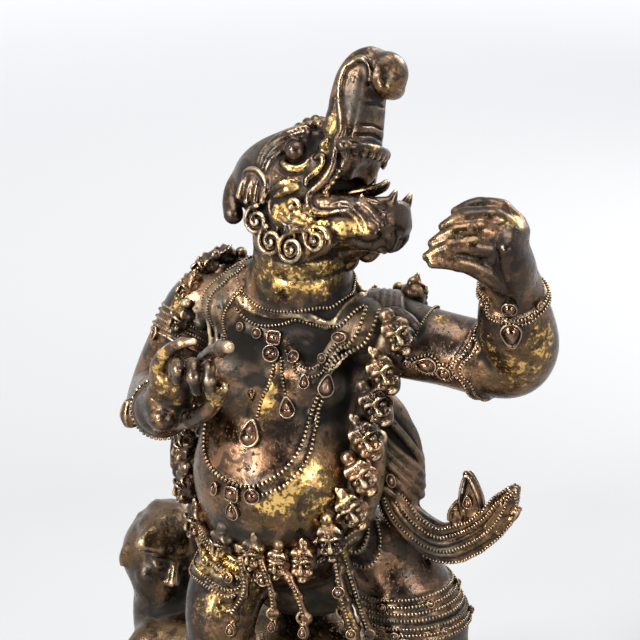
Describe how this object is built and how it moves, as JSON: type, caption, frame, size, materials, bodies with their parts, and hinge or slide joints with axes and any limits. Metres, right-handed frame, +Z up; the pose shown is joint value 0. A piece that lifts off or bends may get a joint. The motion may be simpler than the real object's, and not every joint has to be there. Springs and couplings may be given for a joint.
{
  "type": "deity figure on a lotus base",
  "caption": "Gilt bronze makara-headed guardian deity with raised trunk, garland of severed heads and jewelled ornaments, striding over a crouching attendant on an oval lotus base.",
  "frame": {"origin": "middle of the lotus base's underside", "axes": "+Z up, the deity's chest faces -Y, +X towards the deity's own left hand"},
  "size_m": [0.1911, 0.1233, 0.2955],
  "materials": {
    "gilt_bronze": "fire-gilt cast bronze, rubbed through to a coppery brown patina",
    "dark_bronze": "dark brown patina over cast bronze with traces of gilding",
    "lotus_bronze": "worn gilding over cast bronze"
  },
  "bodies": {
    "root": {"deity_figure": "gilt_bronze", "crouching_attendant": "dark_bronze", "lotus_base": "lotus_bronze"}
  },
  "joints": []
}
